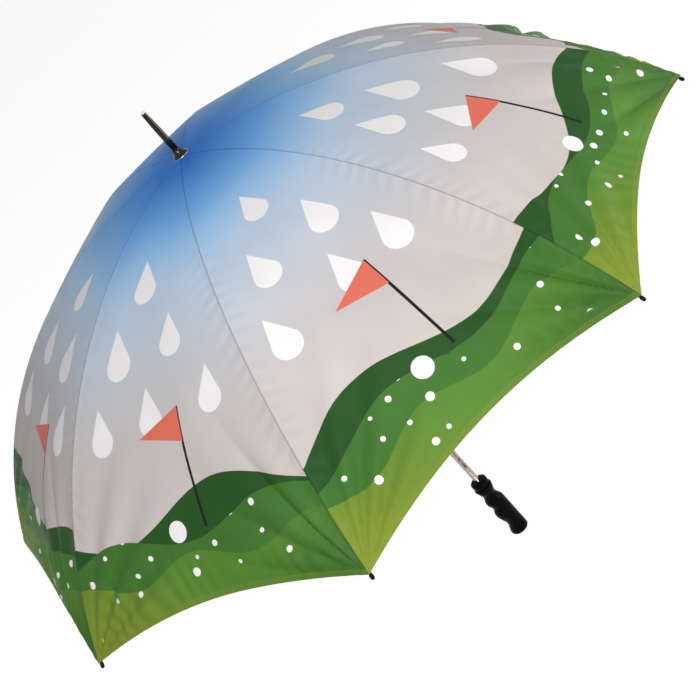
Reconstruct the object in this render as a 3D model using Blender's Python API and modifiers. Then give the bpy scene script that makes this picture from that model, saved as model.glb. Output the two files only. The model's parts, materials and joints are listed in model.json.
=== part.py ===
"""Golf umbrella, standing open: steel shaft, moulded grip, polished ferrule, eight folding ribs with
their stretchers, a sliding runner with two spring catches, and a canopy of eight gores.

Metres, +Z up along the shaft. The origin is the centre of the grip's flat end.
Each rib lies in a vertical plane; its pieces are drawn in that plane, x outwards and z up.
"""
import math

import bmesh
import bpy
from mathutils import Matrix, Vector

# Canopy
RIB_COUNT = 8
RIB_LENGTH = 0.750            # seam from the crown to the rib's tip
RIB_BEND = math.radians(60)   # slope of the seam at its tip; it is level at the crown
CROWN_RADIUS = 0.012          # the seams start to fall outside this radius
CROWN_HOLE_RADIUS = 0.0064    # hole in the cloth for the shaft
CANOPY_THICKNESS = 0.0006
HEM_DIP = 0.035               # how far the hem climbs the panel half-way between two tips
PANEL_RISE = 0.0064           # how far the panel stands off the straight line between two tips
SEAM_GAP = 0.0003             # from each gore to the seam's plane

# Shaft, grip and ferrule
SHAFT_RADIUS = 0.005
SHAFT_WALL = 0.0009
SHAFT_REACH = 0.740           # bare shaft, from the grip's top to the canopy's crown
GRIP_FLOOR = 0.0295           # solid end of the grip, under the shaft's foot
SHAFT_HEAD = 0.009            # shaft above the crown, inside the ferrule's cup
HANDLE_LENGTH = 0.1245        # grip, collar and cap together
CAP_HEIGHT = 0.0125
CAP_RADIUS = 0.0146
COLLAR_HEIGHT = 0.0060
COLLAR_RADIUS = 0.0160
EDGE_ROUND = 0.0035           # rounding of the cap's and collar's rims
GRIP_FOOT_RADIUS = 0.0095     # flat disc at the grip's end
GRIP_END_ROUND = 0.0050
GRIP_SIDE = math.radians(-74)  # direction that the finger grooves face
FERRULE_REACH = 0.086         # crown to the ferrule's tip
FERRULE_RADIUS = 0.0049
FERRULE_TIP_RADIUS = 0.0036
FERRULE_TAPER = 0.030         # length of the tapered end
FERRULE_TAIL = 0.022          # plug inside the shaft, below the shaft's end
CUP_RADIUS = 0.0132
CUP_NECK_RADIUS = 0.0060
CUP_HEIGHT = 0.0140
CUP_RIM = 0.0016

# Ribs, stretchers and their pivots
ROD_RADIUS = 0.0014
PIVOT_RADIUS = 0.0105         # from the shaft's axis to the ribs' pivots, and the stretchers'
JOINT_REACH = 0.330           # seam from the crown to the stretcher's joint on the rib
KNUCKLE_RADIUS = 0.0022
EYE_RADIUS = 0.0019
EYE_THICKNESS = 0.0016
EYE_LENGTH = 0.0050           # pivot to the start of the rod
PLATE_LAP = 0.0030            # how far a plate runs on along its rod
CHEEK = 0.0010                # one cheek of a fork
TONGUE = 0.0018               # outer rib's eye, between the cheeks
RIVET_RADIUS = 0.0008
RIB_FORK_SLOT = 0.0065
STRETCHER_FORK_SLOT = 0.0120
FORK_SOLID = 0.0060           # solid root of a fork, behind its slot
TIP_RADIUS = 0.0030
TIP_SLEEVE = 0.0060           # cap on the rod, under the cloth's corner
TIP_NOSE = 0.0085             # cap beyond the rod's end
WIRE_RADIUS = 0.0005

# Top notch, runner and catches
FLANGE_RADIUS = 0.0125
SLOT_ROOT_RADIUS = 0.0075     # inner end of the pivots' slots
NOTCH_NECK_RADIUS = 0.0074
NOTCH_LENGTH = 0.018
SLEEVE_RADIUS = 0.0094
SLEEVE_LENGTH = 0.060
SLEEVE_RING_RADIUS = 0.0108
SLEEVE_RING_HEIGHT = 0.008
KEYWAY_RADIUS = 0.0083        # groove in the runner's bore that clears the catches
KEYWAY_WIDTH = 0.0036
CATCH_SIDE = math.radians(22.5)
CATCH_WIDTH = 0.0022
CATCH_STRIP = 0.0008
CATCH_LENGTH = 0.040
CATCH_NOSE_FOOT = 0.018       # hinge to the start of the nose
CATCH_NOSE_TOP = 0.036        # hinge to the nose's flat top
CATCH_NOSE_RADIUS = 0.0074    # how far out the nose reaches
CATCH_INSET = 0.0020          # inner face of the strip, from the shaft's axis
CATCH_FOOT = 0.0030
CATCH_ABOVE_GRIP = 0.0180     # from the handle's top to the lower catch's hinge
STOP_PIN_RADIUS = 0.0010
STOP_PIN_PROUD = 0.0016

# Fits and facets
CLEARANCE = 0.0003
TURNED_STEPS = 24
SMALL_STEPS = 10
LINK_END_STEPS = 5
HOLE_STEPS = 8
ROUND_STEPS = 3
INNER_ROD_POINTS = 8
OUTER_ROD_POINTS = 10
GORE_ACROSS = 6
GORE_ALONG = 12
GRIP_AROUND = 20
GRIP_ALONG = 22
RING_STEPS = 32
RING_SIDES = 5

# Levels and places worked out from the sizes above
BEND_RADIUS = RIB_LENGTH / RIB_BEND
CROWN_Z = HANDLE_LENGTH + SHAFT_REACH
JOINT_SLOPE = JOINT_REACH / BEND_RADIUS
RIVET_HOLE = RIVET_RADIUS + CLEARANCE
WIRE_HOLE = WIRE_RADIUS + CLEARANCE
RIB_FORK_WIDTH = TONGUE + 2 * (CLEARANCE + CHEEK)
STRETCHER_FORK_WIDTH = RIB_FORK_WIDTH + 2 * (CLEARANCE + CHEEK)
RIDGE_SLOPE = math.tan(math.pi / RIB_COUNT) * math.sin(JOINT_SLOPE)
RIB_DROP = CANOPY_THICKNESS + 2 * CLEARANCE + KNUCKLE_RADIUS + STRETCHER_FORK_WIDTH / 2 * RIDGE_SLOPE
BORE_RADIUS = SHAFT_RADIUS + CLEARANCE
SHAFT_BORE = SHAFT_RADIUS - SHAFT_WALL
RIB_STEP = 2 * math.pi / RIB_COUNT


def rib_point(reach, drop):
    """Point of a rib's plane, from the crown's centre: reach along the seam, drop under the cloth's face."""
    slope = max(reach, 0) / BEND_RADIUS
    out = CROWN_RADIUS + min(reach, 0) + BEND_RADIUS * math.sin(slope) - drop * math.sin(slope)
    return Vector((out, 0, -BEND_RADIUS * (1 - math.cos(slope)) - drop * math.cos(slope)))


NOTCH_PIVOT = Vector((PIVOT_RADIUS, 0, -RIB_DROP))
JOINT = rib_point(JOINT_REACH, RIB_DROP)
RUNNER_PIVOT = Vector((PIVOT_RADIUS, 0, 2 * JOINT.z - NOTCH_PIVOT.z))
LINK_LENGTH = (JOINT - NOTCH_PIVOT).length
OPEN_RUNNER_Z = CROWN_Z + RUNNER_PIVOT.z


def clear_scene():
    for obj in list(bpy.data.objects):
        bpy.data.objects.remove(obj, do_unlink=True)


def new_collection(name):
    collection = bpy.data.collections.new(name)
    bpy.context.scene.collection.children.link(collection)
    return collection


def material(name, colour, roughness, metallic=0.0):
    mat = bpy.data.materials.new(name)
    mat.use_nodes = True
    shader = mat.node_tree.nodes["Principled BSDF"]
    shader.inputs["Base Color"].default_value = (*colour, 1)
    shader.inputs["Roughness"].default_value = roughness
    shader.inputs["Metallic"].default_value = metallic
    return mat


def place(name, data, mat, parent=None, location=(0, 0, 0), rotation=(0, 0, 0)):
    """Add one named piece of the umbrella, with its own material slot."""
    obj = bpy.data.objects.new(name, data)
    PARTS.objects.link(obj)
    obj.parent = parent
    obj.location = location
    obj.rotation_euler = rotation
    if not data.materials:
        data.materials.append(mat)
    return obj


def smooth(mesh):
    mesh.shade_smooth()
    mesh.set_sharp_from_angle(angle=math.radians(40))
    return mesh


def weld(mesh, matrix=Matrix()):
    """Close the loose caps of a mesh made from a curve, and turn it into its plane."""
    cage = bmesh.new()
    cage.from_mesh(mesh)
    bmesh.ops.remove_doubles(cage, verts=cage.verts, dist=1e-6)
    bmesh.ops.recalc_face_normals(cage, faces=cage.faces)
    bmesh.ops.transform(cage, matrix=matrix, verts=cage.verts)
    cage.to_mesh(mesh)
    cage.free()
    return mesh


def evaluated_mesh(obj):
    """The object's mesh with its modifiers applied; the object itself is removed."""
    depsgraph = bpy.context.evaluated_depsgraph_get()
    mesh = bpy.data.meshes.new_from_object(obj.evaluated_get(depsgraph), depsgraph=depsgraph)
    bpy.data.objects.remove(obj, do_unlink=True)
    return mesh


def curve_mesh(curve, matrix=Matrix()):
    obj = bpy.data.objects.new("outline", curve)
    bpy.context.scene.collection.objects.link(obj)
    return weld(evaluated_mesh(obj), matrix)


def combine(base, joined=(), cut=()):
    """One solid from a base mesh, the meshes joined to it and the meshes cut from it."""
    def helper(mesh):
        obj = bpy.data.objects.new("helper", mesh)
        bpy.context.scene.collection.objects.link(obj)
        return obj

    result = helper(base)
    tools = [("UNION", helper(mesh)) for mesh in joined] + [("DIFFERENCE", helper(mesh)) for mesh in cut]
    for operation, tool in tools:
        boolean = result.modifiers.new(operation.lower(), "BOOLEAN")
        boolean.operation = operation
        boolean.solver = "EXACT"
        boolean.object = tool
    mesh = evaluated_mesh(result)
    for _, tool in tools:
        bpy.data.objects.remove(tool, do_unlink=True)
    return mesh


def rod(points, radius=ROD_RADIUS):
    """Round bar along a line of points."""
    curve = bpy.data.curves.new("rod", "CURVE")
    curve.dimensions = "3D"
    curve.bevel_depth = radius
    curve.bevel_resolution = 1
    curve.use_fill_caps = True
    spline = curve.splines.new("POLY")
    spline.points.add(len(points) - 1)
    for knot, point in zip(spline.points, points):
        knot.co = (*point, 1)
    return curve_mesh(curve)


def arc(centre, radius, start, end, steps):
    """Points of an arc as (x, y) pairs."""
    angles = [start + (end - start) * i / steps for i in range(steps + 1)]
    return [(centre[0] + radius * math.cos(a), centre[1] + radius * math.sin(a)) for a in angles]


def plate(outline, thickness, holes=()):
    """Flat plate in the rib's plane: an outline of (x, z) pairs, with round holes, centred on y = 0."""
    curve = bpy.data.curves.new("plate", "CURVE")
    curve.dimensions = "2D"
    curve.fill_mode = "BOTH"
    curve.extrude = thickness / 2
    rings = [outline] + [arc(centre, radius, 0, 2 * math.pi, HOLE_STEPS)[:-1] for centre, radius in holes]
    for ring in rings:
        spline = curve.splines.new("POLY")
        spline.points.add(len(ring) - 1)
        spline.use_cyclic_u = True
        for knot, (x, y) in zip(spline.points, ring):
            knot.co = (x, y, 0, 1)
    return curve_mesh(curve, Matrix.Rotation(math.pi / 2, 4, "X"))


def link(direction, length, radius, thickness, hole):
    """Straight link with round ends, from a pivot hole at the origin along a direction in the plane."""
    heading = math.atan2(direction.z, direction.x)
    far = (length * math.cos(heading), length * math.sin(heading))
    outline = (arc((0, 0), radius, heading + math.pi / 2, heading + 3 * math.pi / 2, LINK_END_STEPS)
               + arc(far, radius, heading - math.pi / 2, heading + math.pi / 2, LINK_END_STEPS))
    return plate(outline, thickness, [((0, 0), hole)] if hole else ())


def box(low, high):
    mesh = bpy.data.meshes.new("box")
    cage = bmesh.new()
    bmesh.ops.create_cube(cage, size=1)
    size = [b - a for a, b in zip(low, high)]
    centre = [(a + b) / 2 for a, b in zip(low, high)]
    bmesh.ops.transform(cage, verts=cage.verts,
                        matrix=Matrix.Translation(centre) @ Matrix.Diagonal((*size, 1)))
    cage.to_mesh(mesh)
    cage.free()
    return mesh


def cylinder(radius, length, matrix=Matrix(), steps=SMALL_STEPS):
    """Closed cylinder along z, centred, then moved by the matrix."""
    mesh = bpy.data.meshes.new("cylinder")
    cage = bmesh.new()
    bmesh.ops.create_cone(cage, cap_ends=True, segments=steps, radius1=radius, radius2=radius,
                          depth=length, matrix=matrix)
    cage.to_mesh(mesh)
    cage.free()
    return mesh


def moved(mesh, matrix):
    mesh.transform(matrix)
    return mesh


def fork(direction, slot, width, gap, hole):
    """Link whose pivot end is split by a slot into two cheeks."""
    body = link(direction, slot + FORK_SOLID, KNUCKLE_RADIUS, width, hole)
    reach = KNUCKLE_RADIUS + CHEEK
    split = box((-reach, -gap / 2, -reach), (slot, gap / 2, reach))
    heading = math.atan2(direction.z, direction.x)
    return combine(body, cut=[moved(split, Matrix.Rotation(-heading, 4, "Y"))])


def turned(profile, closed=False, steps=TURNED_STEPS):
    """Solid of revolution about z: a profile of (radius, z) pairs that runs down its outer side."""
    mesh = bpy.data.meshes.new("profile")
    count = len(profile)
    edges = [(i, i + 1) for i in range(count - 1)] + ([(count - 1, 0)] if closed else [])
    mesh.from_pydata([(r, 0, z) for r, z in profile], edges, [])
    obj = bpy.data.objects.new("turned", mesh)
    bpy.context.scene.collection.objects.link(obj)
    screw = obj.modifiers.new("turn", "SCREW")
    screw.steps = screw.render_steps = steps
    screw.use_merge_vertices = True
    screw.merge_threshold = 1e-6
    return evaluated_mesh(obj)


def ring(major, minor):
    """Closed wire ring in the level plane."""
    bpy.ops.mesh.primitive_torus_add(major_radius=major, minor_radius=minor,
                                     major_segments=RING_STEPS, minor_segments=RING_SIDES)
    obj = bpy.context.object
    mesh = obj.data
    bpy.data.objects.remove(obj, do_unlink=True)
    return mesh


def rib_inner_mesh():
    """Rib from its eye in the top notch to the fork at the stretcher's joint."""
    start = PIVOT_RADIUS + EYE_LENGTH - CROWN_RADIUS
    fork_length = RIB_FORK_SLOT + FORK_SOLID
    end = JOINT_REACH - fork_length + PLATE_LAP
    reaches = [start + (end - start) * i / (INNER_ROD_POINTS - 1) for i in range(INNER_ROD_POINTS)]
    bar = rod([rib_point(reach, RIB_DROP) - NOTCH_PIVOT for reach in reaches])
    eye = link(Vector((1, 0, 0)), EYE_LENGTH + PLATE_LAP, EYE_RADIUS, EYE_THICKNESS, WIRE_HOLE)
    back = Vector((-math.cos(JOINT_SLOPE), 0, math.sin(JOINT_SLOPE)))
    cheeks = fork(back, RIB_FORK_SLOT, RIB_FORK_WIDTH, TONGUE + 2 * CLEARANCE, RIVET_HOLE)
    cheeks = moved(cheeks, Matrix.Translation(JOINT - NOTCH_PIVOT))
    return smooth(combine(bar, joined=[eye, cheeks]))


def rib_outer_mesh():
    """Springy outer rib, from its eye in the fork to its end inside the tip cap."""
    start = JOINT_REACH + RIB_FORK_SLOT
    step = (RIB_LENGTH - start) / (OUTER_ROD_POINTS - 1)
    bar = rod([rib_point(start + step * i, RIB_DROP) - JOINT for i in range(OUTER_ROD_POINTS)])
    ahead = Vector((math.cos(JOINT_SLOPE), 0, -math.sin(JOINT_SLOPE)))
    eye = link(ahead, RIB_FORK_SLOT + PLATE_LAP, EYE_RADIUS, TONGUE, RIVET_HOLE)
    return smooth(combine(bar, joined=[eye]))


def stretcher_mesh():
    """Stretcher from its fork and rivet on the rib to its eye in the runner."""
    inward = (RUNNER_PIVOT - JOINT).normalized()
    fork_length = STRETCHER_FORK_SLOT + FORK_SOLID
    cheeks = fork(inward, STRETCHER_FORK_SLOT, STRETCHER_FORK_WIDTH, RIB_FORK_WIDTH + 2 * CLEARANCE, 0)
    rivet = cylinder(RIVET_RADIUS, STRETCHER_FORK_WIDTH - CHEEK, Matrix.Rotation(math.pi / 2, 4, "X"))
    bar = rod([inward * (fork_length - PLATE_LAP), inward * (LINK_LENGTH - EYE_LENGTH)])
    eye = link(-inward, EYE_LENGTH + PLATE_LAP, EYE_RADIUS, EYE_THICKNESS, WIRE_HOLE)
    eye = moved(eye, Matrix.Translation(RUNNER_PIVOT - JOINT))
    return smooth(combine(bar, joined=[cheeks, rivet, eye]))


def tip_mesh():
    """Moulded cap on a rib's end: a thin sleeve under the cloth and a rounded nose beyond it."""
    bore = ROD_RADIUS + CLEARANCE
    sleeve = KNUCKLE_RADIUS
    shoulder = TIP_SLEEVE * 0.1
    nose = arc((0, TIP_NOSE - TIP_RADIUS), TIP_RADIUS, math.pi / 2, 0, ROUND_STEPS)
    profile = nose + [(TIP_RADIUS, shoulder + TIP_RADIUS - sleeve), (sleeve, shoulder),
                      (sleeve, -TIP_SLEEVE), (bore, -TIP_SLEEVE), (bore, CLEARANCE), (0, CLEARANCE)]
    profile[0] = (0, TIP_NOSE)
    return smooth(turned(profile, steps=SMALL_STEPS))


def gore_point(across, along):
    """Point of the cloth's outer face: across from one seam (0) to the next (1), along from crown to hem."""
    climb = HEM_DIP * 4 * across * (1 - across)
    inner = CROWN_HOLE_RADIUS - CROWN_RADIUS
    reach = inner + (RIB_LENGTH - climb - inner) * along
    seam = rib_point(reach, 0)
    slope = max(reach, 0) / BEND_RADIUS
    first = Vector((seam.x, 0, seam.z))
    second = Matrix.Rotation(RIB_STEP, 3, "Z") @ first
    inset = SEAM_GAP / (second - first).length
    point = first.lerp(second, inset + across * (1 - 2 * inset))
    middle = RIB_STEP / 2
    off = Vector((math.sin(slope) * math.cos(middle), math.sin(slope) * math.sin(middle), math.cos(slope)))
    stand = PANEL_RISE * max(reach, 0) / RIB_LENGTH
    return point + off * stand * 4 * across * (1 - across)


def gore_mesh():
    """One panel of the canopy, from rib to rib and from the crown's hole to the scalloped hem."""
    mesh = bpy.data.meshes.new("gore")
    cage = bmesh.new()
    bmesh.ops.create_grid(cage, x_segments=GORE_ACROSS, y_segments=GORE_ALONG, size=0.5)
    for vert in cage.verts:
        vert.co = gore_point(vert.co.x + 0.5, 0.5 - vert.co.y) - NOTCH_PIVOT
    bmesh.ops.recalc_face_normals(cage, faces=cage.faces)
    if sum(face.normal.z for face in cage.faces) < 0:
        bmesh.ops.reverse_faces(cage, faces=cage.faces)
    cage.to_mesh(mesh)
    cage.free()
    return smooth(mesh)


def add_rib(index, meshes):
    """One rib with its stretcher, tip and the gore that starts at its seam."""
    angle = index * RIB_STEP
    number = index + 1
    pivot = Matrix.Rotation(angle, 3, "Z") @ NOTCH_PIVOT + Vector((0, 0, CROWN_Z))
    inner = place(f"rib_{number}_inner", meshes["inner"], STEEL, None, pivot, (0, 0, angle))
    joint = JOINT - NOTCH_PIVOT
    outer = place(f"rib_{number}_outer", meshes["outer"], FIBREGLASS, inner, joint)
    place(f"stretcher_{number}", meshes["stretcher"], STEEL, inner, joint)
    tip = rib_point(RIB_LENGTH, RIB_DROP) - JOINT
    place(f"rib_{number}_tip", meshes["tip"], BLACK_PLASTIC, outer, tip, (0, math.pi / 2 + RIB_BEND, 0))
    gore = place(f"canopy_gore_{number}", meshes["gore"], CLOTH, inner)
    wall = gore.modifiers.new("cloth", "SOLIDIFY")
    wall.thickness = CANOPY_THICKNESS
    wall.offset = -1


def flange_cuts(level, floor, ceiling):
    """Slots for the eyes and a channel for the wire, in a flange whose pivots lie at a level."""
    slot_half = EYE_THICKNESS / 2 + CLEARANCE
    slots = []
    for index in range(RIB_COUNT):
        slot = box((SLOT_ROOT_RADIUS, -slot_half, floor), (FLANGE_RADIUS + CHEEK, slot_half, ceiling))
        slots.append(moved(slot, Matrix.Rotation(index * RIB_STEP, 4, "Z")))
    channel = moved(ring(PIVOT_RADIUS, WIRE_HOLE), Matrix.Translation((0, 0, level)))
    return slots + [channel]


def add_top_notch():
    """Slotted hub that the ribs hang from, its wire and the washer under the cloth."""
    level = CROWN_Z + NOTCH_PIVOT.z
    top, bottom = level + KNUCKLE_RADIUS, level - KNUCKLE_RADIUS
    foot = top - NOTCH_LENGTH
    hub = turned([(FLANGE_RADIUS, top), (FLANGE_RADIUS, bottom), (NOTCH_NECK_RADIUS, bottom),
                  (NOTCH_NECK_RADIUS, foot), (BORE_RADIUS, foot), (BORE_RADIUS, top)], closed=True)
    cuts = flange_cuts(level, bottom - CHEEK, top + CHEEK)
    place("top_notch", smooth(combine(hub, cut=cuts)), BLACK_PLASTIC)
    place("notch_wire", smooth(ring(PIVOT_RADIUS, WIRE_RADIUS)), STEEL, None, (0, 0, level))
    ceiling = CROWN_Z - CANOPY_THICKNESS - CLEARANCE
    floor = top + CLEARANCE
    washer = [(FLANGE_RADIUS, ceiling), (FLANGE_RADIUS, floor), (BORE_RADIUS, floor), (BORE_RADIUS, ceiling)]
    place("canopy_washer", smooth(turned(washer, closed=True)), WASHER)


def add_runner():
    """Sliding runner with its slotted crown, finger ring, keyway and wire."""
    top, bottom = KNUCKLE_RADIUS, -KNUCKLE_RADIUS
    foot = bottom - SLEEVE_LENGTH
    ledge = foot + SLEEVE_RING_HEIGHT
    sleeve = turned([(FLANGE_RADIUS, top), (FLANGE_RADIUS, bottom), (SLEEVE_RADIUS, bottom),
                     (SLEEVE_RADIUS, ledge), (SLEEVE_RING_RADIUS, ledge), (SLEEVE_RING_RADIUS, foot),
                     (BORE_RADIUS, foot), (BORE_RADIUS, top)], closed=True)
    keyway = box((0, -KEYWAY_WIDTH / 2, foot - CHEEK), (KEYWAY_RADIUS, KEYWAY_WIDTH / 2, top + CHEEK))
    keyway = moved(keyway, Matrix.Rotation(CATCH_SIDE, 4, "Z"))
    slot_floor = -EYE_RADIUS - 2 * CLEARANCE
    cuts = flange_cuts(0, min(slot_floor, bottom), top + CHEEK) + [keyway]
    runner = place("runner", smooth(combine(sleeve, cut=cuts)), BLACK_PLASTIC, None, (0, 0, OPEN_RUNNER_Z))
    place("runner_wire", smooth(ring(PIVOT_RADIUS, WIRE_RADIUS)), STEEL, runner)


def catch_mesh():
    """Flat spring inside the shaft: a foot, a strip and a wedge nose with a flat top, in the rib's plane."""
    front = CATCH_INSET + CATCH_STRIP
    wall = math.sqrt(SHAFT_BORE ** 2 - (CATCH_WIDTH / 2) ** 2) - CLEARANCE
    outline = [(CATCH_INSET, 0), (wall, 0), (wall, CATCH_FOOT), (front, CATCH_FOOT),
               (front, CATCH_NOSE_FOOT), (CATCH_NOSE_RADIUS, CATCH_NOSE_TOP - CATCH_STRIP),
               (CATCH_NOSE_RADIUS, CATCH_NOSE_TOP), (front, CATCH_NOSE_TOP), (front, CATCH_LENGTH),
               (CATCH_INSET, CATCH_LENGTH)]
    middle = (CATCH_INSET + front) / 2
    return moved(plate(outline, CATCH_WIDTH), Matrix.Translation((-middle, 0, 0)))


def catch_levels():
    """Hinge levels of the catch that holds the runner up and of the one that holds it down."""
    sleeve_foot = OPEN_RUNNER_Z - KNUCKLE_RADIUS - SLEEVE_LENGTH
    upper = sleeve_foot - CLEARANCE - CATCH_NOSE_TOP
    return upper, HANDLE_LENGTH + CATCH_ABOVE_GRIP


def add_shaft():
    """Steel tube with its two catch slots and stop-pin holes, the catches and the stop pin."""
    top = CROWN_Z + SHAFT_HEAD
    foot = GRIP_FLOOR
    tube = turned([(SHAFT_RADIUS, top), (SHAFT_RADIUS, foot), (SHAFT_BORE, foot), (SHAFT_BORE, top)],
                  closed=True)
    side = Matrix.Rotation(CATCH_SIDE, 4, "Z")
    pin_level = OPEN_RUNNER_Z + KNUCKLE_RADIUS + CLEARANCE + STOP_PIN_RADIUS
    pin_place = Matrix.Translation((0, 0, pin_level)) @ side @ Matrix.Rotation(math.pi / 2, 4, "Y")
    pin_length = 2 * (SHAFT_RADIUS + STOP_PIN_PROUD)
    slot_half = CATCH_WIDTH / 2 + CLEARANCE
    cuts = [cylinder(STOP_PIN_RADIUS + CLEARANCE, pin_length, pin_place)]
    spring = catch_mesh()
    middle = CATCH_INSET + CATCH_STRIP / 2
    for name, level in zip(("top_spring", "bottom_spring"), catch_levels()):
        slot = box((CATCH_INSET, -slot_half, level + CATCH_NOSE_FOOT - CHEEK),
                   (2 * SHAFT_RADIUS, slot_half, level + CATCH_LENGTH + CHEEK))
        cuts.append(moved(slot, side))
        place(name, spring, SPRING_STEEL, None, side @ Vector((middle, 0, level)), (0, 0, CATCH_SIDE))
    place("shaft", smooth(combine(tube, cut=cuts)), CHROME)
    place("runner_stop_pin", smooth(cylinder(STOP_PIN_RADIUS, pin_length, pin_place)), STEEL)


def add_ferrule():
    """Polished spike plugged into the shaft's end, and the flared cup that clamps the cloth's crown."""
    seat = CROWN_Z + SHAFT_HEAD + CLEARANCE
    tip = CROWN_Z + FERRULE_REACH
    edge = FERRULE_TIP_RADIUS * 0.3
    tail = SHAFT_BORE - CLEARANCE
    spike = [(0, tip), (FERRULE_TIP_RADIUS - edge, tip), (FERRULE_TIP_RADIUS, tip - edge),
             (FERRULE_RADIUS, tip - FERRULE_TAPER), (FERRULE_RADIUS, seat), (tail, seat),
             (tail, seat - FERRULE_TAIL), (0, seat - FERRULE_TAIL)]
    place("ferrule", smooth(turned(spike)), BLACK_CHROME)
    floor = CROWN_Z + CLEARANCE
    rim = floor + CUP_RIM
    flare = CUP_RADIUS - CUP_NECK_RADIUS
    rise = CUP_HEIGHT - CUP_RIM
    steps = 6
    trumpet = [(CUP_NECK_RADIUS + flare * (i / steps) ** 2, rim + rise * (1 - i / steps))
               for i in range(steps + 1)]
    cup = trumpet + [(CUP_RADIUS, floor), (BORE_RADIUS, floor), (BORE_RADIUS, floor + CUP_HEIGHT)]
    place("ferrule_cup", smooth(turned(cup, closed=True)), BLACK_CHROME)


def eased(stations, z):
    """Radius at a height, eased between (height, radius) stations."""
    if z <= stations[0][0]:
        return stations[0][1]
    for (low, start), (high, end) in zip(stations, stations[1:]):
        if z <= high:
            share = (z - low) / (high - low)
            return start + (end - start) * (1 - math.cos(math.pi * share)) / 2
    return stations[-1][1]


# Heights above the grip's end and radii there, at the finger side and at the palm side
FINGER_SIDE = [(0.005, 0.0156), (0.022, 0.0116), (0.049, 0.0163), (0.063, 0.0138), (0.076, 0.0154),
               (0.093, 0.0126), (0.105, 0.0146)]
PALM_SIDE = [(0.005, 0.0160), (0.066, 0.0161), (0.088, 0.0112), (0.105, 0.0146)]


def add_handle():
    """Grip with finger grooves and a thumb hollow, then the collar and the cap round the shaft."""
    grip_top = HANDLE_LENGTH - CAP_HEIGHT - COLLAR_HEIGHT - 2 * CLEARANCE
    mesh = bpy.data.meshes.new("grip")
    cage = bmesh.new()
    bmesh.ops.create_grid(cage, x_segments=GRIP_AROUND, y_segments=GRIP_ALONG, size=0.5)
    for vert in cage.verts:
        turn = (vert.co.x + 0.5) * 2 * math.pi
        level = (vert.co.y + 0.5) * grip_top
        finger = (1 + math.cos(turn)) / 2
        radius = eased(FINGER_SIDE, level) * finger + eased(PALM_SIDE, level) * (1 - finger)
        fall = max(0, 1 - level / GRIP_END_ROUND)
        radius = GRIP_FOOT_RADIUS + (radius - GRIP_FOOT_RADIUS) * math.sqrt(1 - fall ** 2)
        vert.co = (radius * math.cos(turn), radius * math.sin(turn), level)
    bmesh.ops.remove_doubles(cage, verts=cage.verts, dist=1e-6)
    bmesh.ops.holes_fill(cage, edges=[edge for edge in cage.edges if edge.is_boundary])
    bmesh.ops.recalc_face_normals(cage, faces=cage.faces)
    cage.to_mesh(mesh)
    cage.free()
    depth = GRIP_FLOOR - CLEARANCE
    bore = cylinder(BORE_RADIUS, grip_top, Matrix.Translation((0, 0, depth + grip_top / 2)), TURNED_STEPS)
    place("handle_grip", smooth(combine(mesh, cut=[bore])), BLACK_PLASTIC, None, (0, 0, 0), (0, 0, GRIP_SIDE))
    base = grip_top + CLEARANCE
    for name, radius, height in (("handle_collar", COLLAR_RADIUS, COLLAR_HEIGHT),
                                 ("handle_cap", CAP_RADIUS, CAP_HEIGHT)):
        top = base + height
        round_off = min(EDGE_ROUND, height / 2)
        rim = arc((radius - round_off, top - round_off), round_off, math.pi / 2, 0, ROUND_STEPS)
        heel = arc((radius - round_off, base + round_off), round_off, 0, -math.pi / 2, ROUND_STEPS)
        profile = rim + heel + [(BORE_RADIUS, base), (BORE_RADIUS, top)]
        place(name, smooth(turned(profile, closed=True)), BLACK_PLASTIC)
        base = top + CLEARANCE


clear_scene()
PARTS = new_collection("golf_umbrella")
CLOTH = material("canopy cloth", (0.30, 0.52, 0.80), 0.45)
STEEL = material("frame steel", (0.62, 0.62, 0.64), 0.3, 1.0)
SPRING_STEEL = material("spring steel", (0.50, 0.51, 0.54), 0.35, 1.0)
CHROME = material("shaft chrome", (0.72, 0.70, 0.68), 0.15, 1.0)
BLACK_CHROME = material("ferrule black chrome", (0.10, 0.09, 0.09), 0.12, 1.0)
FIBREGLASS = material("rib fibreglass", (0.03, 0.03, 0.03), 0.4)
BLACK_PLASTIC = material("black moulding", (0.012, 0.011, 0.011), 0.45)
WASHER = material("crown washer", (0.05, 0.05, 0.05), 0.7)
MESHES = {"inner": rib_inner_mesh(), "outer": rib_outer_mesh(), "stretcher": stretcher_mesh(),
          "tip": tip_mesh(), "gore": gore_mesh()}
for rib in range(RIB_COUNT):
    add_rib(rib, MESHES)
add_top_notch()
add_runner()
add_shaft()
add_ferrule()
add_handle()
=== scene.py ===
"""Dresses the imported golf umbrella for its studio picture.

Makes the printed canopy as sewn cloth, the moulded grip, the polished ferrule, finishes for the folding
frame, and the stage with its lamps and camera. Metres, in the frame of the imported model.
"""
import json
import math

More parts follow.
